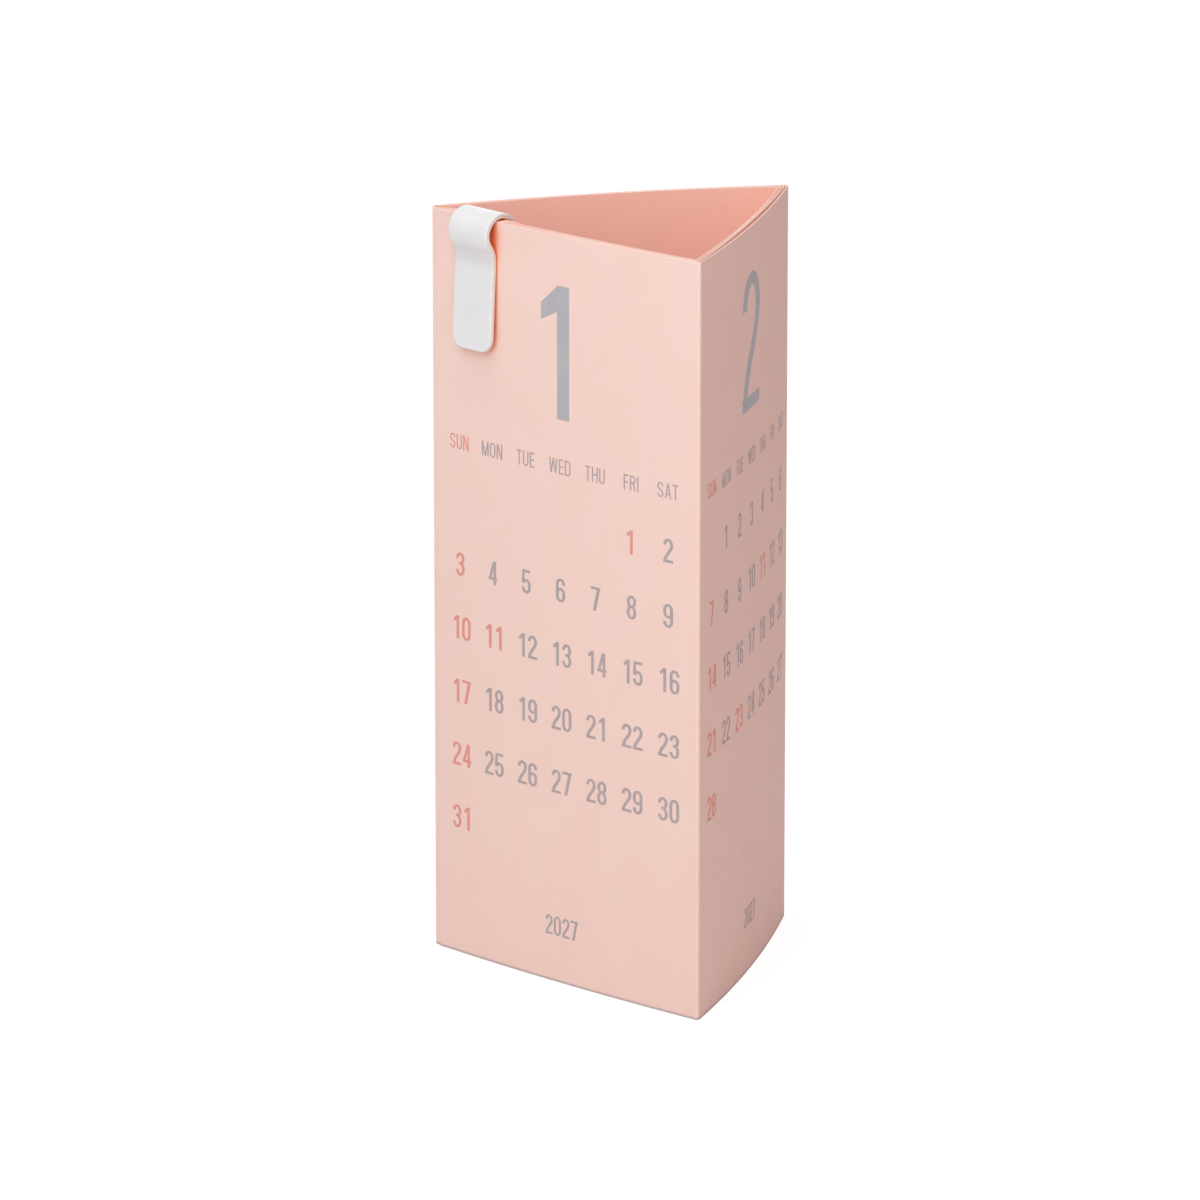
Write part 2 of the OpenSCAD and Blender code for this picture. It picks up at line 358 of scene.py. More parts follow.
# %% Helpers for finishes
class Finish(Nodes):
    """A material that is built around a Principled shader."""

    def __init__(self, name):
        self.material = bpy.data.materials.new(name)
        self.material.use_nodes = True
        super().__init__(self.material.node_tree)
        self.place = self.add("ShaderNodeTexCoord", output="Object")

    def noise(self, size_mm, detail=3.0, rough=0.5, stretch=(1, 1, 1)):
        """Cloudy noise whose blots are about size_mm across, from 0 to 1."""
        place = self.add("ShaderNodeMapping", {"Vector": self.place, "Scale": stretch})
        return self.add("ShaderNodeTexNoise", {"Vector": place, "Scale": 1 / (size_mm * MM),
                                               "Detail": detail, "Roughness": rough})

    def past(self, axis, low, high):
        """0 below low and 1 above high along an axis, both in millimetres, smooth between."""
        place = self.add("ShaderNodeSeparateXYZ", {0: self.place}, output=axis)
        return place.ramp(low * MM, high * MM)

    def carried(self, name):
        """A number that the mesh carries."""
        return self.add("ShaderNodeAttribute", attribute_name=name, output="Fac")

    def closed_in(self, reach_mm):
        """0 on an open surface, towards 1 where others stand close to it."""
        reach = {"Distance": reach_mm * MM}
        return 1 - self.add("ShaderNodeAmbientOcclusion", reach, output="AO", samples=4)

    def shade(self, color, roughness, height, depth_mm, **fixed):
        """Ends the finish with a shader; height is the relief, depth_mm its depth."""
        bump = self.add("ShaderNodeBump", {"Height": height, "Distance": depth_mm * MM})
        shader = self.add("ShaderNodeBsdfPrincipled",
                          {"Base Color": color, "Roughness": roughness, "Normal": bump, **fixed})
        self.end("ShaderNodeOutputMaterial", shader)
        return self.material


print("finish kit ready")

# %% [markdown]
# ## The finish of the card
#
# The card is pale pink stock, coloured right through and matt, and its reverse is a deeper pink,
# partly its own colour and partly painted bounce light from the pink walls inside the tube. Soft
# clouds from the way the fibres settle and a fine tooth keep it from looking like paint. The creases,
# where the surface is stretched, are paler and a little rougher, and so are the cut edges at the
# top; part of that paleness is a painted highlight where light catches a rounded crease or a top
# edge. A thin orange line of painted shade runs along the score beside each crease. A thin grey
# line of painted contact shadow runs along the foot. Where cards stand close together, and most of
# all in the hollow of the clip's loop, a warm orange is painted in: painted shade and painted bounce
# light, standing for light that goes from pink to pink.
#
# The masks for the creases, the score lines and the reverse come from numbers that the mesh
# carries. The edges and the painted foot shadow come from the height of a point, and the painted
# warm shade comes from ambient occlusion, which tells how closed in a point is.

# %% Card stock
PINK = (0.900, 0.652, 0.583)
PINK_DEEP = (0.885, 0.627, 0.558)
# The reverse pink is partly painted bounce light inside the tube.
PINK_REVERSE_AND_BOUNCE = (0.985, 0.568, 0.466)
# Paler pink for creases and cut edges: partly wear, partly painted highlight.
PINK_WORN_AND_HIGHLIGHT = (0.985, 0.710, 0.620)
# Orange of painted shade and bounce light in nooks and along score lines.
PINK_NOOK_SHADE = (0.960, 0.400, 0.220)
# Deeper orange of painted bounce light in the hollow of the clip's loop.
PINK_HOLLOW_BOUNCE = (0.990, 0.270, 0.095)
# Grey of the painted contact shadow along the foot.
PINK_FOOT_SHADOW = (0.520, 0.410, 0.400)
LEFT_CREASE = (-49, -48)
CLIP_SIDE = (-20, 0)
FOOT_SHADOW_LINE = (0.3, 1.0)
NEAR_FLOOR = (2, 8)
CUT_EDGE = (TALL - 0.5, TALL - 0.15)
TOP_BAND = (TALL - 8, TALL - 2)
LOOP_BAND = (TALL - 15, TALL - 9)
LOOP_END = (TALL - 4, TALL - 1)


def paper_relief(finish):
    """The tooth of card stock: fibres, and grains between them."""
    fibres = finish.noise(0.9, detail=4, rough=0.6, stretch=(1, 1, 0.35))
    grains = finish.noise(0.22, detail=2)
    return fibres * 0.6 + grains * 0.4


def card_stock(name):
    finish = Finish(name)
    clouds = finish.noise(14, detail=2)
    speckle = finish.noise(0.6, detail=3, rough=0.65)
    broken = finish.noise(0.8, detail=3, stretch=(1, 1, 0.2))
    crease = finish.carried("fold") * broken.ramp(0.25, 0.65)
    reverse = finish.carried("reverse")
    closed_in = finish.closed_in(4)
    by_clip = 1 - finish.past("X", *CLIP_SIDE)
    open_rim = finish.past("Z", *TOP_BAND) * (1 - by_clip)
    # Painted shade: warm orange where ambient occlusion finds the card closed in.
    nook_shade = closed_in.ramp(0.1, 0.9) * finish.past("Z", *NEAR_FLOOR) * (1 - open_rim)
    hollow = by_clip * finish.past("Z", *LOOP_BAND)
    # Painted bounce light: deeper orange in the hollow under the clip's loop.
    depth = closed_in.ramp(0.2, 0.5) * hollow * (1 - finish.past("Z", *LOOP_END))
    sharp = finish.past("X", *LEFT_CREASE)
    # Painted highlight, partly wear: paler creases and top cut edges.
    worn_and_highlight = crease * 0.5 * sharp + finish.past("Z", *CUT_EDGE) * (1 - reverse) * 0.8
    clouded = clouds.ramp(0.3, 0.7) * 0.6 + speckle.ramp(0.35, 0.75) * 0.3
    color = finish.mix(clouded, PINK, PINK_DEEP)
    # The reverse colour is partly painted bounce light.
    color = finish.mix(reverse, color, PINK_REVERSE_AND_BOUNCE)
    color = finish.mix(worn_and_highlight, color, PINK_WORN_AND_HIGHLIGHT)
    # Painted shade along the score line beside each crease.
    color = finish.mix(finish.carried("score") * 0.5 * sharp, color, PINK_NOOK_SHADE)
    # Painted shade and bounce light, mixed in as one warm orange.
    warm = finish.mix(hollow, PINK_NOOK_SHADE, PINK_HOLLOW_BOUNCE)
    color = finish.mix(nook_shade * 0.85 + depth, color, warm)
    # Painted contact shadow: a grey line along the foot.
    color = finish.mix((1 - finish.past("Z", *FOOT_SHADOW_LINE)) * 0.9, color, PINK_FOOT_SHADOW)
    roughness = 0.78 + speckle * 0.12 + crease * 0.06
    relief = paper_relief(finish) + crease * 0.8
    return finish.shade(color, roughness, relief, 0.018, **{"Specular IOR Level": 0.3})


card_finish = card_stock("pink_card")
print("card finish:", len(card_finish.node_tree.nodes), "nodes")

# %% [markdown]
# ## The four folded cards
#
# A folded card could be a box that is bent, or three boxes side by side. Neither gives a true
# crease. Instead the sheet's cut section, a strip 0.35 mm wide and 206 mm tall with its corners
# just broken, is swept along the folded line. That is what Curve to Mesh does, and the tree keeps
# the sheet's height, thickness and corner as inputs. It also marks the faces that look into the
# tube as the reverse of the card.

# %% Sweep the sheets along their lines
EDGE_BREAK = 0.07
SMOOTH_TURN = math.radians(28)


def sheet_rule():
    tree = Rule("folded_sheet", geometry="Geometry", height="Float", thickness="Float",
                edge_break="Float", finish="Material")
    line = tree.add("GeometryNodeMeshToCurve", {"Mesh": tree.given("geometry")})
    upright = tree.add("GeometryNodeSetCurveNormal", {"Curve": line}, mode="Z_UP")
    section = tree.add("GeometryNodeCurvePrimitiveQuadrilateral",
                       {"Width": tree.given("thickness"), "Height": tree.given("height")})
    broken = tree.add("GeometryNodeFilletCurve",
                      {"Curve": section, "Radius": tree.given("edge_break"), "Count": 2},
                      mode="POLY")
    swept = tree.add("GeometryNodeCurveToMesh",
                     {"Curve": upright, "Profile Curve": broken, "Fill Caps": True})
    normal, place = tree.add("GeometryNodeInputNormal"), tree.add("GeometryNodeInputPosition")
    facing = tree.add("ShaderNodeVectorMath", {0: normal, 1: place}, output="Value",
                      operation="DOT_PRODUCT")
    inward = tree.add("FunctionNodeCompare", {0: facing, 1: 0.0}, operation="LESS_THAN")
    sided = tree.add("GeometryNodeStoreNamedAttribute",
                     {"Geometry": swept, "Name": "reverse", "Value": inward},
                     data_type="FLOAT", domain="FACE")
    turn = tree.add("GeometryNodeInputMeshEdgeAngle")
    sharp = tree.add("FunctionNodeCompare", {0: turn, 1: SMOOTH_TURN}, operation="LESS_THAN")
    smooth = tree.add("GeometryNodeSetShadeSmooth", {"Geometry": sided, "Shade Smooth": True},
                      domain="FACE")
    edged = tree.add("GeometryNodeSetShadeSmooth", {"Geometry": smooth, "Shade Smooth": sharp},
                     domain="EDGE")
    tree.finish(edged)
    return tree


folded_sheet = sheet_rule()
cards = []
for node, line in zip(CARD_NODES, lines):
    points = [((p.x + HOME.x) * MM, (p.y + HOME.y) * MM, TALL / 2 * MM) for p, *marks in line]
    edges = [(i, i + 1) for i in range(len(points) - 1)]
    card = grow(node.replace("_card", "_sheet"), folded_sheet, points, edges,
                {"height": TALL * MM, "thickness": CARD_T * MM, "edge_break": EDGE_BREAK * MM,
                 "finish": card_finish},
                {"fold": ("FLOAT", "value", [float(fold) for p, fold, score in line]),
                 "score": ("FLOAT", "value", [float(score) for p, fold, score in line])})
    cards.append(card)
    print(f"{node}: {len(card.data.polygons)} faces, {volume(card):.0f} mm3")

# %% [markdown]
# ## The clip
#
# The clip is one strip of white plastic, 15 mm wide and 1.5 mm thick. It hugs the cards with two
# legs, and a round loop over the top edge is its spring. The ends are rounded in outline, and all
# its edges are rounded over, because it is a moulded part.
#
# It is made flat first, as a plate with rounded corners and rounded edges, and then each point is
# laid along the clip's line. That keeps the rounding exact, which a bevel on a bent strip wouldn't.

# %% The line of the clip
CLIP_W = 15.0
CLIP_T = 1.5
CLIP_INSET = 11.9
CLIP_LEG = 35.8
LOOP_R = 4.3
NECK_R = 6.5
FLARE = 1.3
CLIP_CORNER = 4.0
GRIP_GAP = 0.12
CLIP_ROUND = 0.4
LOOP_STEPS = 60
BEND_STEPS = 24
LEG_STEPS = 40

front = panel_circles(0)[0]
last = panel_circles(len(CARD_NODES) - 1)[0]
tab_face = last[1] - tab_off - CARD_T / 2
clip_mid = CLIP_INSET + CLIP_W / 2
lean = math.atan((len(CARD_NODES) - 1) * (left_step - crease_step) / SIDE)
face_turn = -math.pi / 2 + (clip_mid - SIDE / 2) / front[1]
clip_turn = face_turn - lean / 2
clip_out, clip_side = heading(clip_turn), heading(clip_turn + math.pi / 2)
clip_x = (front[0] + front[1] * heading(face_turn)).dot(clip_side)
stack_out = front[0].dot(clip_out) + front[1] + CARD_T / 2
stack_in = min(last[0].dot(clip_out) + math.sqrt(tab_face ** 2 - (x - last[0].dot(clip_side)) ** 2)
               for x in (clip_x - CLIP_W / 2, clip_x + CLIP_W / 2))
clip_at = clip_x * clip_side + (stack_out + stack_in) / 2 * clip_out + HOME
half_stack = (stack_out - stack_in) / 2 + GRIP_GAP


def clip_half():
    """Half of the clip's middle line, from the top of the loop down: (point, normal angle)."""
    r = LOOP_R + CLIP_T / 2
    top = Vector((0, RUB_GAP - math.sqrt(LOOP_R ** 2 - half_stack ** 2)))
    reach = half_stack + CLIP_T / 2
    dip = math.acos((reach + NECK_R) / (r + NECK_R))
    neck = top + (r + NECK_R) * heading(-dip)
    slant = math.atan(FLARE / (CLIP_LEG + neck.y))
    low = neck + NECK_R * heading(math.pi + slant)
    end = low + (CLIP_LEG + low.y) / math.cos(slant) * heading(slant - math.pi / 2)
    loop = [math.pi / 2 - (dip + math.pi / 2) * i / LOOP_STEPS for i in range(LOOP_STEPS + 1)]
    bend = [math.pi - dip + (slant + dip) * i / BEND_STEPS for i in range(1, BEND_STEPS + 1)]
    leg = [(low + (end - low) * i / LEG_STEPS, slant) for i in range(1, LEG_STEPS + 1)]
    return ([(top + r * heading(a), a) for a in loop]
            + [(neck + NECK_R * heading(a), a - math.pi) for a in bend] + leg)


half = clip_half()
clip_line = [(Vector((-p.x, p.y)), math.pi - a) for p, a in reversed(half[1:])] + half
clip_run = [0.0]
for (p, a), (q, b) in zip(clip_line, clip_line[1:]):
    clip_run.append(clip_run[-1] + (q - p).length)
print(f"clip: strip {clip_run[-1]:.1f} mm long, stack {2 * half_stack:.2f} mm thick in it")

# %% Bend the rounded plate into the clip
CLIP_ROWS = 150
CLIP_COLUMNS = 12
CORNER_ROWS = 8
ROUND_STEPS = 5


def on_clip(along, across, out):
    """Where a point of the flat plate lies once the strip is bent, in metres."""
    i = max(1, next(n for n, run in enumerate(clip_run) if run >= along))
    share = (along - clip_run[i - 1]) / (clip_run[i] - clip_run[i - 1])
    (p, a), (q, b) = clip_line[i - 1], clip_line[i]
    bent = p.lerp(q, share) + out * heading(a + (b - a) * share)
    place = clip_at + bent.x * clip_out + across * clip_side
    return (place.x * MM, place.y * MM, (TALL + bent.y) * MM)


def plate_rows(inset):
    """Rows of the plate, drawn in by inset from its outline: (place along, half width)."""
    length, r = clip_run[-1], CLIP_CORNER
    start = [(r - (r - inset) * math.cos(t), CLIP_W / 2 - r + (r - inset) * math.sin(t))
             for t in (math.pi / 2 * i / CORNER_ROWS for i in range(CORNER_ROWS + 1))]
    middle = [(r + (length - 2 * r) * i / CLIP_ROWS, CLIP_W / 2 - inset)
              for i in range(1, CLIP_ROWS)]
    return start + middle + [(length - s, w) for s, w in reversed(start)]


def bent_clip():
    """The clip as one closed mesh: two faces and the rounded rim between them."""
    half_turn = [math.pi / 2 * i / ROUND_STEPS for i in range(ROUND_STEPS + 1)]
    upper = [(CLIP_ROUND * (1 - math.sin(t)), CLIP_T / 2 - CLIP_ROUND * (1 - math.cos(t)))
             for t in half_turn]
    levels = upper + [(inset, -out) for inset, out in reversed(upper)]
    points, grid = [], {}
    rows, last = len(plate_rows(0)), len(levels) - 1
    for level, (inset, out) in enumerate(levels):
        whole = level in (0, last)
        for i, (along, wide) in enumerate(plate_rows(inset)):
            for j in range(CLIP_COLUMNS + 1):
                if whole or i in (0, rows - 1) or j in (0, CLIP_COLUMNS):
                    grid[level, i, j] = len(points)
                    across = wide * (2 * j / CLIP_COLUMNS - 1)
                    points.append(on_clip(along, across, out))
    faces = []
    for level, way in ((0, 1), (last, -1)):
        for i in range(rows - 1):
            for j in range(CLIP_COLUMNS):
                square = [(i, j), (i, j + 1), (i + 1, j + 1), (i + 1, j)]
                faces.append([grid[level, *place] for place in square[::way]])
    rim = ([(i, 0) for i in range(rows)] + [(rows - 1, j) for j in range(1, CLIP_COLUMNS + 1)]
           + [(i, CLIP_COLUMNS) for i in range(rows - 2, -1, -1)]
           + [(0, j) for j in range(CLIP_COLUMNS - 1, 0, -1)])
    for level in range(last):
        for a, b in zip(rim, rim[1:] + rim[:1]):
            faces.append([grid[level, *a], grid[level, *b], grid[level + 1, *b], grid[level + 1, *a]])
    mesh = bpy.data.meshes.new("bent_clip")
    mesh.from_pydata(points, [], faces)
    mesh.flip_normals()
    mesh.shade_smooth()
    return placed("bent_clip", mesh)


clip = bent_clip()
print(f"clip: {len(clip.data.polygons)} faces, {volume(clip):.0f} mm3")

# %% [markdown]
# ## The finish of the clip
#
# The clip is white moulded plastic with a soft gloss. The shine isn't even: handling leaves
# slightly duller patches, and the mould leaves a very fine relief. A grey band of painted shade
# darkens the neck, where a leg meets the loop. Where it stands close to the cards, ambient occlusion
# gives it a warm pink tint: painted bounce light from the cards.

# %% White plastic
CLIP_WHITE = (0.81, 0.80, 0.805)
CLIP_HAZE = (0.78, 0.77, 0.775)
# Grey of the painted shade at the neck.
CLIP_NECK_SHADE = (0.50, 0.485, 0.47)
# Pink of painted bounce light from the cards.
CLIP_PINK_BOUNCE = (0.97, 0.62, 0.44)
# Heights of the painted neck shade.
NECK_SHADE_LOW = (TALL - 14, TALL - 10.5)
NECK_SHADE_HIGH = (TALL - 9, TALL - 5.5)


def white_plastic(name):
    finish = Finish(name)
    haze = finish.noise(9, detail=2)
    grain = finish.noise(0.35, detail=3)
    rubs = finish.noise(2.2, detail=4, rough=0.7, stretch=(1, 1, 0.15))
    # Painted shade: a grey band at the neck of the loop.
    neck_shade = finish.past("Z", *NECK_SHADE_LOW) * (1 - finish.past("Z", *NECK_SHADE_HIGH))
    color = finish.mix(haze.ramp(0.3, 0.75), CLIP_WHITE, CLIP_HAZE)
    color = finish.mix(neck_shade * 0.3, color, CLIP_NECK_SHADE)
    # Painted bounce light: pink where ambient occlusion finds the clip close to the cards.
    color = finish.mix(finish.closed_in(5).ramp(0.05, 0.7) * 0.9, color, CLIP_PINK_BOUNCE)
    roughness = 0.34 + haze * 0.12 + rubs.ramp(0.5, 0.8) * 0.1
    return finish.shade(color, roughness, grain * 0.7 + rubs * 0.3, 0.008)


clip.data.materials.append(white_plastic("white_plastic"))
print("clip finish ready")

# %% [markdown]
# ## Digits and letters
#
# The numbers and the names of the weekdays are narrow, upright capitals with strokes of almost
# even weight. A font squeezed to this width would have thin stems and fat crossbars, so the
# characters are drawn here as a pen would draw them: each stroke is a line with a pen of a set
# width and height. Where strokes cross, a Delaunay fill merges them into one flat shape.
#
# A character is one unit high, with its left side at zero.

# %% The pen
class Pen:
    """Draws strokes as flat quads. wide is the weight of stems, thin the weight of bars."""

    def __init__(self, wide, thin, steps):
        self.wide, self.thin, self.steps = wide, thin, steps
        self.points, self.faces = [], []

    def quad(self, *corners):
        start = len(self.points)
        self.points += [Vector(c) for c in corners]
        self.faces.append(list(range(start, start + len(corners))))

    def covers(self, p):
        """Whether a point lies in one of the strokes, which all run counter-clockwise."""
        for stroke in self.faces:
            ring = [self.points[i] for i in stroke]
            if all((b - a).cross(p - a) >= 0 for a, b in zip(ring, ring[1:] + ring[:1])):
                return True
        return False

    def bar(self, x0, z0, x1, z1):
        """An upright rectangle."""
        self.quad((x0, z0), (x1, z0), (x1, z1), (x0, z1))

    def slant(self, x0, z0, x1, z1, weight=1.0):
        """A sloping stroke whose ends are cut level; x0 and x1 are its left corners."""
        w = self.wide * weight
        self.quad((x0, z0), (x0 + w, z0), (x1 + w, z1), (x1, z1))

    def arc(self, cx, cz, rx, rz, *turns):
        """Points on an oval, from one turn to the next; turns are in degrees."""
        angles = [math.radians(a + (b - a) * i / self.steps)
                  for a, b in zip(turns, turns[1:]) for i in range(self.steps + 1)]
        return [Vector((cx + rx * math.cos(t), cz + rz * math.sin(t))) for t in angles]

    def bend(self, a, b, c, d):
        """Points on a Bezier curve."""
        a, b, c, d = (Vector(v) for v in (a, b, c, d))
        shares = [i / (2 * self.steps) for i in range(2 * self.steps + 1)]
        return [a * (1 - s) ** 3 + b * 3 * s * (1 - s) ** 2 + c * 3 * s * s * (1 - s) + d * s ** 3
                for s in shares]

    def draw(self, line, closed=False):
        """A stroke along a line, with the pen's weight in each direction."""
        line = [Vector(p) for p in line]
        kept = [p for i, p in enumerate(line) if i == 0 or (p - line[i - 1]).length > 1e-4]
        if closed and (kept[0] - kept[-1]).length < 1e-4:
            kept.pop()
        count = len(kept)
        sides = []
        for i, p in enumerate(kept):
            before = kept[i - 1] if closed or i else kept[0]
            after = kept[(i + 1) % count] if closed or i < count - 1 else kept[-1]
            way = (after - before).normalized()
            nx, nz = way.y * self.wide / 2, -way.x * self.thin / 2
            reach = math.hypot(nx, nz)
            out = Vector((nx * self.wide / 2 / reach, nz * self.thin / 2 / reach))
            sides.append((p + out, p - out))
        for i in range(count if closed else count - 1):
            (a, b), (c, d) = sides[i], sides[(i + 1) % count]
            self.quad(a, c, d, b)


def ring(pen, x0, z0, x1, z1, r):
    """A closed bowl inside these outer limits; r is the height of its rounded ends."""
    left, right = x0 + pen.wide / 2, x1 - pen.wide / 2
    low, high = z0 + pen.thin / 2, z1 - pen.thin / 2
    cx, rx = (left + right) / 2, (right - left) / 2
    upper, lower = (partial(pen.arc, cx, z, rx, r) for z in (high - r, low + r))
    pen.draw(upper(0, 90, 180) + lower(180, 270, 360), closed=True)


print("pen ready")

# %% [markdown]
# Now each character. The hooks of 2, 3, 5, 6 and 9 end in a level cut a quarter of the way in, and
# the bowls have straight sides between half-oval ends, which is what makes such figures look
# narrow and tall.

# %% Draw the characters
WIDE = 0.5
LETTER_WIDTHS = {"S": 0.5, "U": 0.5, "N": 0.52, "M": 0.64, "O": 0.52, "T": 0.46, "E": 0.42,
                 "W": 0.74, "D": 0.51, "H": 0.51, "F": 0.41, "R": 0.5, "I": 0.1, "A": 0.54}


def draw_digit(pen, d):
    """Draws one digit and returns its width."""
    v, h = pen.wide, pen.thin
    left, right, low, high = v / 2, WIDE - v / 2, h / 2, 1 - h / 2
    mid, rx, r = WIDE / 2, (WIDE - v) / 2, 0.21
    upper, lower = (partial(pen.arc, mid, z, rx, r) for z in (high - r, low + r))
    hook = 0.74
    if d == 0:
        ring(pen, 0, 0, WIDE, 1, 0.24)
    if d == 1:
        stem = 0.165
        pen.quad((stem, 0), (stem + v, 0), (stem + v, 1), (stem, 1))
        pen.quad((0, 0.725), (stem + v / 2, 0.832), (stem + v / 2, 1), (stem + 0.01, 1), (0, 0.852))
        return stem + v
    if d == 2:
        foot = pen.bend((right, high - r), (right, 0.50), (left + 0.03, 0.34), (left + 0.012, h / 2))
        pen.draw([(left, hook)] + upper(180, 90, 0) + foot)
        pen.bar(0, 0, WIDE, h)
    if d in (3, 8):
        waist = 0.53
        crown = (waist + high) / 2
        belly = (waist + low) / 2
        r3, r4 = (high - waist) / 2, (waist - low) / 2
        if d == 8:
            ring(pen, 0.01, waist - h / 2, WIDE - 0.01, 1, r3)
            ring(pen, 0, 0, WIDE, waist + h / 2, r4)
        else:
            pen.draw([(left, hook)] + upper(180, 90)
                     + pen.arc(mid, crown, rx - 0.01, r3, 90, -90) + [(mid - 0.07, waist)])
            pen.draw([(mid - 0.07, waist)] + pen.arc(mid, belly, rx, r4, 90, -90)
                     + lower(270, 180) + [(left, 1 - hook)])
    if d == 4:
        stem, bar = 0.29, 0.205
        pen.bar(stem, 0, stem + v, 1)
        pen.bar(0, bar, WIDE, bar + h)
        pen.slant(0, bar, stem - 0.03, 1, 0.95)
    if d == 5:
        top = 0.62
        pen.bar(0.035, 1 - h, WIDE - 0.03, 1)
        pen.slant(0.0, 0.46, 0.035, 1, 0.9)
        crown = top - r - h / 2
        pen.draw(pen.arc(mid, crown, rx, r, 160, 90, 0) + lower(0, -90) + lower(270, 180)
                 + [(left, 1 - hook)])
    if d in (6, 9):
        start = len(pen.points)
        ring(pen, 0, 0, WIDE, 0.61, 0.2)
        pen.draw([(right, hook)] + upper(0, 90, 180) + [(left, 0.3)])
        if d == 9:
            for p in pen.points[start:]:
                p.x, p.y = WIDE - p.x, 1 - p.y
    if d == 7:
        foot, weight = 0.11, 1.08
        pen.bar(0, 1 - h, WIDE, 1)
        pen.slant(foot, 0, WIDE - weight * v, 1, weight)
    return WIDE


def draw_letter(pen, letter):
    """Draws one capital and returns its width."""
    v, h, w = pen.wide, pen.thin, LETTER_WIDTHS[letter]
    left, right, low, high = v / 2, w - v / 2, h / 2, 1 - h / 2
    mid, rx, r = w / 2, (w - v) / 2, 0.22
    upper, lower = (partial(pen.arc, mid, z, rx, r) for z in (high - r, low + r))
    foot = r if letter == "U" else 0
    if letter in "NMHUEFRDI":
        pen.bar(0, foot, v, 1)
    if letter in "NMHU":
        pen.bar(w - v, foot, w, 1)
    if letter == "N":
        pen.slant(w - 1.1 * v, 0, 0, 1, 1.1)
    if letter == "M":
        pen.slant(mid - v / 2, 0, 0, 1)
        pen.slant(mid - v / 2, 0, w - v, 1)
    if letter == "W":
        for x0, x1 in ((0.2, 0), (0.2, 0.5), (0.8, 0.5), (0.8, 1)):
            pen.slant((w - v) * x0, 0, (w - v) * x1, 1)
    if letter == "A":
        pen.slant(0, 0, mid - v / 2, 1)
        pen.slant(w - v, 0, mid - v / 2, 1)
        pen.bar(w * 0.18, 0.24, w * 0.82, 0.24 + h)
    if letter == "U":
        pen.draw([(left, r + h)] + lower(180, 270, 360) + [(right, r + h)])
    if letter == "O":
        ring(pen, 0, 0, w, 1, 0.24)
    if letter in "TEF":
        pen.bar(0, 1 - h, w, 1)
    if letter == "T":
        pen.bar(mid - v / 2, 0, mid + v / 2, 1)
    if letter in "EF":
        pen.bar(0, 0.5 - h / 2, w * 0.92, 0.5 + h / 2)
    if letter == "E":
        pen.bar(0, 0, w, h)
    if letter == "H":
        pen.bar(0, 0.5 - h / 2, w, 0.5 + h / 2)
    if letter == "D":
        pen.draw([(left, high), (mid, high)] + upper(90, 0) + lower(0, -90)
                 + [(mid, low), (left, low)])
    if letter == "R":
        pen.draw([(left, high), (mid, high)] + pen.arc(mid, 0.735, rx, high - 0.735, 90, -90)
                 + [(mid, 1.47 - high), (left, 1.47 - high)])
        pen.slant(w - 1.05 * v, 0, mid - 0.2 * v, 0.52, 1.05)
    if letter == "S":
        pen.draw([(right, 0.75)] + upper(0, 90, 180)
                 + pen.bend((left, high - r), (left, 0.45), (right, 0.55), (right, low + r))
                 + lower(0, -90) + lower(270, 180) + [(left, 0.25)])
    return w


print("characters: ten digits and", len(LETTER_WIDTHS), "letters")

# %% [markdown]
# The merge: the Delaunay fill takes all the quads of a character and gives back triangles that
# cover the same area once. A triangle whose middle lies in no stroke is a hole, such as the inside
# of a 0, so it is left open. A large numeral is then cut into narrow upright slices, so that it
# can bend with its panel.

# %% Turn a character into a flat mesh
GLYPHS = bpy.data.collections.new("characters")
glyph_index, glyph_width = {}, {}


def glyph(key, character, wide, thin, steps, slices=0):
    """Adds a flat character to the collection, one unit high, centred on x."""
    pen = Pen(wide, thin, steps)
    width = draw_digit(pen, int(character)) if character.isdigit() else draw_letter(pen, character)
    points, edges, faces, *rest = delaunay_2d_cdt(pen.points, [], pen.faces, 1, 1e-5)
    bm = bmesh.new()
    corners = [bm.verts.new((p.x - width / 2, 0, p.y)) for p in points]
    for face in faces:
        if pen.covers(sum((points[i] for i in face), Vector((0, 0))) / len(face)):
            bm.faces.new([corners[i] for i in face])
    loose = [v for v in bm.verts if not v.link_faces]
    bmesh.ops.delete(bm, geom=loose, context="VERTS")
    bmesh.ops.dissolve_limit(bm, angle_limit=0.01, verts=bm.verts, edges=bm.edges)
    for i in range(1, slices):
        x = width * (i / slices - 0.5)
        bmesh.ops.bisect_plane(bm, geom=bm.verts[:] + bm.edges[:] + bm.faces[:],
                               plane_co=(x, 0, 0), plane_no=(1, 0, 0))
    bmesh.ops.triangulate(bm, faces=bm.faces)
    mesh = bpy.data.meshes.new(key)
    bm.to_mesh(mesh)
    bm.free()
    item = bpy.data.objects.new(f"{len(glyph_index):03d}_{key}", mesh)
    GLYPHS.objects.link(item)
    glyph_index[key], glyph_width[key] = len(glyph_index), width
    return len(mesh.polygons)


MONTH_PEN = {"wide": 0.122, "thin": 0.092, "steps": 14, "slices": 9}
DATE_PEN = {"wide": 0.142, "thin": 0.108, "steps": 6}
LETTER_PEN = {"wide": 0.105, "thin": 0.088, "steps": 5}
counts = [glyph(f"month_{d}", str(d), **MONTH_PEN) for d in (1, 2, 3)]
counts += [glyph(str(d), str(d), **DATE_PEN) for d in range(10)]
counts += [glyph(letter, letter, **LETTER_PEN) for letter in LETTER_WIDTHS]
print("triangles in the characters:", counts)

# %% [markdown]
# ## The layout of a month
#
# Each panel is one month: a large numeral, the seven weekdays, the dates under them in up to six
# rows, and the year near the bottom edge. Sundays and holidays are coral, all the rest is grey.
# The first of the month sits under its weekday, and the rest follows by counting.

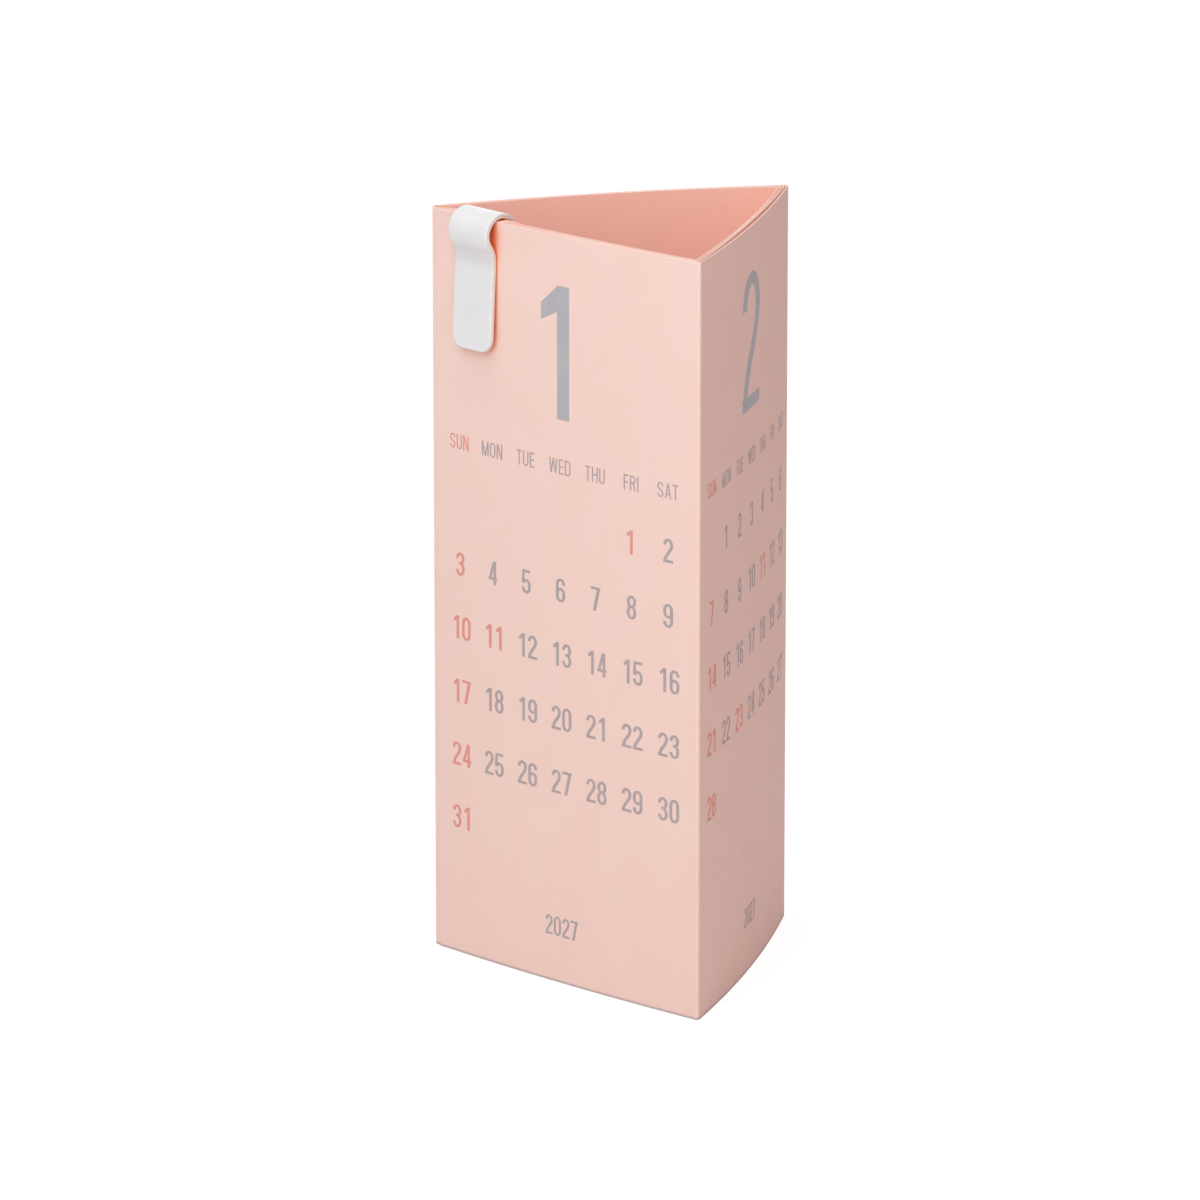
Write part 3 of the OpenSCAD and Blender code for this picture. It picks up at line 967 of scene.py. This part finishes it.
# %% Lay out the three months
DATE_TOP, DATE_UP = 79.0, 38.5
COLUMN_INSET = 11.15
COLUMN_STEP = (SIDE - 2 * COLUMN_INSET) / 6
ROW_STEP = (TALL - DATE_TOP - DATE_UP) / 5
WEEKDAY_DOWN, WEEKDAY_H, WEEKDAY_LEFT = 62.85, 4.1, 0.5
DATE_H, YEAR_H, YEAR_UP = 6.5, 5.4, 15.7
DATE_STRETCH = 1.05
DATE_SPACE, LETTER_SPACE = 0.085, 0.13
WEEKDAYS = ["SUN", "MON", "TUE", "WED", "THU", "FRI", "SAT"]
ONE_LEFT, DIGIT_LEFT = 0.9, 0.3
INK_T = 0.05

january, february, march = panel_circles(0)[:3]
MONTHS = [
    {"panel": january, "turn": -90, "days": 31, "first": 5, "holidays": (1, 11), "shift": 0.95,
     "numeral": (-1.3, 31.85, 36.3), "year": 0.9},
    {"panel": february, "turn": 30, "days": 28, "first": 1, "holidays": (11, 23), "shift": -0.8,
     "numeral": (-2.3, 30.95, 37.1), "year": -1.2},
    {"panel": march, "turn": 150, "days": 31, "first": 1, "holidays": (22,), "shift": 0.0,
     "numeral": (0.0, 31.4, 37.1), "year": 0.0}]
print_jobs = {"grey": [], "coral": []}


def write(color, month, text, x, z, size, space, prefix="", stretch=1.0):
    """Adds a word or number, centred on x and z of a panel, to the print of one colour."""
    cells = [WIDE if c.isdigit() else glyph_width[c] for c in text]
    width = size * stretch
    start = x - width * (sum(cells) + space * (len(text) - 1)) / 2
    for c, cell in zip(text, cells):
        print_jobs[color].append({
            "character": glyph_index[prefix + c], "x": start + width * cell / 2, "z": z - size / 2,
            "size": (width, size, size), "large": float(prefix != ""), "month": month})
        start += width * (cell + space)


for number, month in enumerate(MONTHS, 1):
    shift = month["shift"]
    across, down, size = month["numeral"]
    write("grey", month, str(number), across, TALL - down, size, DATE_SPACE, "month_")
    for column, word in enumerate(WEEKDAYS):
        write("coral" if column == 0 else "grey", month, word,
              (column - 3) * COLUMN_STEP + shift - WEEKDAY_LEFT, TALL - WEEKDAY_DOWN, WEEKDAY_H,
              LETTER_SPACE)
    for day in range(1, month["days"] + 1):
        slot = month["first"] + day - 1
        column, row = slot % 7, slot // 7
        special = column == 0 or day in month["holidays"]
        left = ONE_LEFT if day == 1 else DIGIT_LEFT if day < 10 else 0.0
        write("coral" if special else "grey", month, str(day),
              (column - 3) * COLUMN_STEP + shift - left, TALL - DATE_TOP - row * ROW_STEP, DATE_H,
              DATE_SPACE, stretch=DATE_STRETCH)
    write("grey", month, "2027", month["year"], YEAR_UP, YEAR_H, DATE_SPACE)
print({color: len(jobs) for color, jobs in print_jobs.items()}, "characters")

# %% [markdown]
# ## The finish of the ink
#
# Printed ink sinks into card stock. It is a little smoother than the bare card, but the tooth
# still comes through as tiny pale specks, and the colour is denser in some places than in others.
# The large numerals are a bluer grey than the small print, and the mesh carries which is which.

# %% Printing inks
GREY_SMALL = (0.415, 0.348, 0.362)
GREY_LARGE = (0.434, 0.427, 0.461)
CORAL = (0.750, 0.285, 0.240)


def printing_ink(name, small, large):
    finish = Finish(name)
    density = finish.noise(5, detail=2)
    specks = finish.noise(0.3, detail=3, rough=0.7)
    pale = density.ramp(0.35, 0.75) * 0.1 + specks.ramp(0.55, 0.8) * 0.22
    full = finish.mix(finish.carried("large"), small, large)
    roughness = 0.6 + specks * 0.15
    return finish.shade(finish.mix(pale, full, PINK), roughness, paper_relief(finish), 0.012,
                        **{"Specular IOR Level": 0.35})


inks = {"grey": printing_ink("grey_ink", GREY_SMALL, GREY_LARGE),
        "coral": printing_ink("coral_ink", CORAL, CORAL)}
print("inks ready")

# %% [markdown]
# ## Print on the curved panels
#
# Hundreds of characters have to lie on three curved panels. The tree below does it by one rule.
# A point for each character says where it goes on the unrolled panel and which character it is.
# The tree puts the character there, gives it the thickness of the ink, and then rolls the flat
# print onto the panel: the way along the panel becomes a turn about the panel's own axis.

# %% Roll the print onto the panels
def print_rule():
    tree = Rule("rolled_print", geometry="Geometry", characters="Collection", ink="Float",
                finish="Material")
    shapes = tree.add("GeometryNodeCollectionInfo", {"Collection": tree.given("characters"),
                                                     "Separate Children": True,
                                                     "Reset Children": True})
    stamped = tree.add("GeometryNodeInstanceOnPoints",
                       {"Points": tree.given("geometry"), "Instance": shapes,
                        "Pick Instance": True, "Instance Index": tree.carried("character", "INT"),
                        "Scale": tree.carried("size", "FLOAT_VECTOR")})
    flat = tree.add("GeometryNodeRealizeInstances", {"Geometry": stamped})
    raised = tree.add("GeometryNodeExtrudeMesh",
                      {"Mesh": flat, "Offset Scale": tree.given("ink"), "Individual": False},
                      mode="FACES")
    back = tree.add("GeometryNodeFlipFaces", {"Mesh": flat})
    solid = tree.add("GeometryNodeJoinGeometry", {"Geometry": [raised, back]})
    place = tree.add("GeometryNodeInputPosition")
    along, depth, height = (tree.add("ShaderNodeSeparateXYZ", {0: place}, output=i)
                            for i in range(3))
    radius = tree.carried("radius")
    turn = tree.carried("turn") + along / radius
    reach = radius - depth
    rolled = tree.add("ShaderNodeCombineXYZ", {
        0: tree.carried("axis_x") + reach * tree.maths("COSINE", turn),
        1: tree.carried("axis_y") + reach * tree.maths("SINE", turn),
        2: height})
    laid = tree.add("GeometryNodeSetPosition", {"Geometry": solid, "Position": rolled})
    tree.finish(tree.add("GeometryNodeMergeByDistance", {"Geometry": laid, "Distance": 1e-7}))
    return tree


rolled_print = print_rule()
prints = {}
for color, jobs in print_jobs.items():
    points = [(job["x"] * MM, 0, job["z"] * MM) for job in jobs]
    circles = [job["month"]["panel"] for job in jobs]
    columns = {
        "large": ("FLOAT", "value", [job["large"] for job in jobs]),
        "character": ("INT", "value", [job["character"] for job in jobs]),
        "size": ("FLOAT_VECTOR", "vector", [size * MM for job in jobs for size in job["size"]]),
        "turn": ("FLOAT", "value", [math.radians(job["month"]["turn"]) for job in jobs]),
        "radius": ("FLOAT", "value", [(radius + CARD_T / 2) * MM for centre, radius in circles]),
        "axis_x": ("FLOAT", "value", [(centre.x + HOME.x) * MM for centre, radius in circles]),
        "axis_y": ("FLOAT", "value", [(centre.y + HOME.y) * MM for centre, radius in circles])}
    piece = grow(color + "_ink_print", rolled_print, points, [],
                 {"characters": GLYPHS, "ink": INK_T * MM, "finish": inks[color]}, columns)
    for label in list(columns)[1:]:
        piece.data.attributes.remove(piece.data.attributes[label])
    prints[color] = piece
    print(color, f"print: {len(piece.data.polygons)} triangles, {volume(piece):.1f} mm3")
for item in list(GLYPHS.objects):
    bpy.data.objects.remove(item)
bpy.data.collections.remove(GLYPHS)

# %% [markdown]
# ## Which piece stands for which
#
# Every dressed piece takes the place of its node in the construction model, and rides on the same
# body. Nothing on this calendar moves, so there is only one body.

# %% Tie the pieces to the construction model
for node, card in zip(CARD_NODES, cards):
    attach(card, "root")
    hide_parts(node)
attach(clip, "root")
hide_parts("clip")
for color, piece in prints.items():
    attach(piece, "root")
    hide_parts(color + "_print")
print("pieces tied:", len(cards) + 1 + len(prints))

# %% [markdown]
# ## Floor and light
#
# The calendar stands on white. What the camera, a gloss or clear glass sees of the floor and the sky
# is white, and the floor keeps a faint shadow. For every other ray the floor is matt and the sky a
# little pink, as in a room, so the white adds no light to the calendar.
#
# The light is that of a small studio: a soft even sky and five wide lamps. Two in front face the
# January panel, one low and one high, one hangs overhead, one at the right grazes the February
# panel, and one behind lights the March panel.

# %% Floor
FLOOR = 8.0
FLOOR_MATT = (0.9, 0.9, 0.9, 1)
FLOOR_FAINT = (0.30, 0.305, 0.305, 1)
FLOOR_GLOW = 0.82


def seen_directly(shading):
    """1 for a ray that comes from the camera, a gloss or clear glass, else 0."""
    kinds = ("Is Camera Ray", "Is Glossy Ray", "Is Transmission Ray")
    return sum(shading.add("ShaderNodeLightPath", output=kind) for kind in kinds)


corners = [(-FLOOR, -FLOOR, 0), (FLOOR, -FLOOR, 0), (FLOOR, FLOOR, 0), (-FLOOR, FLOOR, 0)]
floor_mesh = bpy.data.meshes.new("floor")
floor_mesh.from_pydata(corners, [], [(0, 1, 2, 3)])
floor = placed("floor", floor_mesh)
floor_finish = Finish("white_floor")
matt = floor_finish.add("ShaderNodeBsdfDiffuse", {"Color": FLOOR_MATT})
faint = floor_finish.add("ShaderNodeBsdfDiffuse", {"Color": FLOOR_FAINT})
glow = floor_finish.add("ShaderNodeEmission", {"Color": (1, 1, 1, 1), "Strength": FLOOR_GLOW})
seen = floor_finish.add("ShaderNodeAddShader", {0: faint, 1: glow})
both = floor_finish.add("ShaderNodeMixShader", {0: seen_directly(floor_finish), 1: matt, 2: seen})
floor_finish.end("ShaderNodeOutputMaterial", both)
floor_mesh.materials.append(floor_finish.material)
print("floor", 2 * FLOOR, "m wide")

# %% Lamps and sky
SKY = 0.335
SKY_COLOR = (1.04, 0.815, 0.79)
COOL, WARM, PLAIN = (0.88, 1.04, 1.06), (1.09, 0.96, 0.94), (1.0, 1.0, 1.0)
LAMPS = {"low_front": (12, 5, 1.6, 1.1, 4.07, COOL), "high_front": (20, 42, 1.6, 1.1, 9.55, COOL),
         "overhead": (0, 87, 1.5, 0.9, 8.1, PLAIN), "right": (60, 8, 1.6, 1.1, 3.3, WARM),
         "rear": (240, 10, 1.6, 1.1, 4.5, PLAIN)}


def wide_lamp(name, turn, rise, away, size, power, color):
    """A square lamp that faces the calendar; turn 0 is in front of the January panel."""
    a, e = math.radians(turn), math.radians(rise)
    middle = Vector((0, 0, TALL / 2 * MM))
    way = Vector((math.sin(a) * math.cos(e), -math.cos(a) * math.cos(e), math.sin(e)))
    place = middle + away * way
    lamp = bpy.data.lights.new(name, "AREA")
    lamp.shape, lamp.size, lamp.energy, lamp.color = "SQUARE", size, power, color
    facing = (middle - place).to_track_quat("-Z", "Y").to_matrix().to_4x4()
    placed(name, lamp).matrix_world = Matrix.Translation(place) @ facing


for name, lamp in LAMPS.items():
    wide_lamp(name + "_lamp", *lamp)
world = bpy.data.worlds.new("studio")
world.use_nodes = True
bpy.context.scene.world = world
sky = Nodes(world.node_tree)
direct = seen_directly(sky)
background = sky.add("ShaderNodeBackground", {"Color": sky.mix(direct, SKY_COLOR, (1, 1, 1)),
                                              "Strength": SKY + direct * (1 - SKY)})
sky.end("ShaderNodeOutputWorld", background)
print("sky", SKY, "and", len(LAMPS), "lamps")

# %% [markdown]
# ## Camera
#
# The picture was taken from about 2.3 m with a long lens, looking down by 15 degrees. The aim lies
# 26 mm to the left of the front crease and 116 mm up. These values were fitted to the corners and
# rows of dates in the photograph.

# %% Camera
CAMERA_TURN = math.radians(44.385)
CAMERA_DOWN = math.radians(14.813)
CAMERA_AWAY = 2.2833
AIM_LEFT, AIM_UP = 0.026011, 0.115609
FOCAL_PIXELS = 8700.0
PICTURE = 1200
crease = Vector((SIDE + HOME.x, HOME.y, 0)) * MM
to_right = Vector((*heading(CAMERA_TURN), 0))
aim = crease - AIM_LEFT * to_right + Vector((0, 0, AIM_UP))
level = math.cos(CAMERA_DOWN)
look = Vector((-math.sin(CAMERA_TURN) * level, math.cos(CAMERA_TURN) * level,
               -math.sin(CAMERA_DOWN)))
view = bpy.data.cameras.new("camera")
view.sensor_width = 36
view.lens = FOCAL_PIXELS * view.sensor_width / PICTURE
view.clip_end = 50
camera = placed("camera", view)
camera.matrix_world = (Matrix.Translation(aim - CAMERA_AWAY * look)
                       @ look.to_track_quat("-Z", "Y").to_matrix().to_4x4())
bpy.context.scene.camera = camera
bpy.context.scene.view_settings.view_transform = "Standard"
print(f"lens {view.lens:.1f} mm")

# %% [markdown]
# ## End


print("scene ready")
